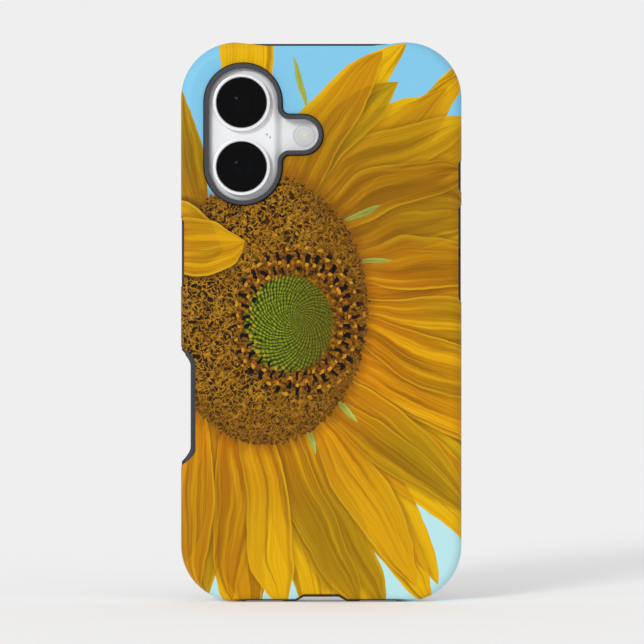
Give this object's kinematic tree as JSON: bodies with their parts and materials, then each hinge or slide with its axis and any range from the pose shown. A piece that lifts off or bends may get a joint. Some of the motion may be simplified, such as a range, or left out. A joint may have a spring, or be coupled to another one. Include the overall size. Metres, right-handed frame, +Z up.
{
  "type": "smartphone in a printed protective case",
  "caption": "Slim smartphone with a glass back, rear cameras and press buttons, held in a two-layer protective case whose hard shell carries a floral print.",
  "frame": {"origin": "bottom centre of the bounding box: the middle of the bottom edge that the case stands on", "axes": "+Z up along the phone's length towards its top edge, +Y out of the screen, -Y out of the printed back, +X to the right as seen from behind"},
  "size_m": [0.0766, 0.0126, 0.1527],
  "materials": {
    "printed_shell": "hard plastic shell with a printed picture of a sunflower under a clear gloss coat",
    "liner_rubber": "soft dark grey elastomer, fine matte texture",
    "frame_metal": "fine bead-blasted, anodised silver",
    "back_glass": "opaque white backed glass, soft satin on the panel and polished on the plateau",
    "front_glass": "polished black glass over a switched-off display",
    "control_glass": "polished pale cover over a touch sensor",
    "lens_ring_metal": "bright white anodised trim ring with a fine bevel",
    "lens_glass": "dark coated lens glass",
    "barrel_plastic": "ribbed matte black",
    "sensor_housing": "matte black housing",
    "flash_diffuser": "milky diffuser with moulded rings",
    "flash_phosphor": "yellow phosphor",
    "component_metal": "small plated component",
    "display": "switched-off display panel",
    "battery_pouch": "foil pouch with a matte black wrap",
    "circuit_board": "green solder mask",
    "shield_metal": "thin pressed steel",
    "coil_copper": "wound copper",
    "magnet_metal": "nickel-plated magnets",
    "port_metal": "drawn steel socket",
    "port_plastic": "moulded black tongue",
    "speaker_plastic": "moulded black box",
    "mesh_metal": "fine black woven mesh",
    "screw_metal": "machined steel screw"
  },
  "bodies": {
    "cased_phone": {"case_shell": "printed_shell", "case_liner": "liner_rubber", "phone_frame": "frame_metal", "back_glass": "back_glass", "front_glass": "front_glass", "lens_ring_upper": "lens_ring_metal", "lens_ring_lower": "lens_ring_metal", "lens_cover_upper": "lens_glass", "lens_cover_lower": "lens_glass", "lens_barrel_upper": "barrel_plastic", "lens_barrel_lower": "barrel_plastic", "lens_element_upper": "lens_glass", "lens_element_lower": "lens_glass", "camera_sensor_upper": "sensor_housing", "camera_sensor_lower": "sensor_housing", "flash_window": "flash_diffuser", "flash_led": "flash_phosphor", "rear_microphone": "component_metal", "bottom_microphone": "component_metal", "display_panel": "display", "front_camera": "sensor_housing", "face_sensor": "sensor_housing", "midplate": "frame_metal", "battery": "battery_pouch", "main_board": "circuit_board", "board_shield": "shield_metal", "charging_coil": "coil_copper", "magnet_ring": "magnet_metal", "charging_port": "port_metal", "port_tongue": "port_plastic", "loudspeaker": "speaker_plastic", "earpiece_speaker": "speaker_plastic", "haptic_motor": "shield_metal", "earpiece_mesh": "mesh_metal", "bottom_screw_left": "screw_metal", "bottom_screw_right": "screw_metal", "action_switch": "component_metal", "volume_up_switch": "component_metal", "volume_down_switch": "component_metal", "side_switch": "component_metal", "camera_control_sensor": "component_metal"},
    "action_key": {"action_button": "frame_metal", "action_pad": "liner_rubber"},
    "volume_up_key": {"volume_up_button": "frame_metal", "volume_up_pad": "liner_rubber"},
    "volume_down_key": {"volume_down_button": "frame_metal", "volume_down_pad": "liner_rubber"},
    "side_key": {"side_button": "frame_metal", "side_pad": "liner_rubber"},
    "camera_control_key": {"camera_control_button": "control_glass"}
  },
  "joints": [
    {"name": "action_press", "type": "slide", "parent": "cased_phone", "child": "action_key", "axis": [-1, 0, 0], "range_m": [0, 0.0003], "stiffness_N_per_m": 6000},
    {"name": "volume_up_press", "type": "slide", "parent": "cased_phone", "child": "volume_up_key", "axis": [-1, 0, 0], "range_m": [0, 0.0003], "stiffness_N_per_m": 6000},
    {"name": "volume_down_press", "type": "slide", "parent": "cased_phone", "child": "volume_down_key", "axis": [-1, 0, 0], "range_m": [0, 0.0003], "stiffness_N_per_m": 6000},
    {"name": "side_press", "type": "slide", "parent": "cased_phone", "child": "side_key", "axis": [1, 0, 0], "range_m": [0, 0.0003], "stiffness_N_per_m": 6000},
    {"name": "camera_control_press", "type": "slide", "parent": "cased_phone", "child": "camera_control_key", "axis": [1, 0, 0], "range_m": [0, 0.0002], "stiffness_N_per_m": 6000}
  ]
}
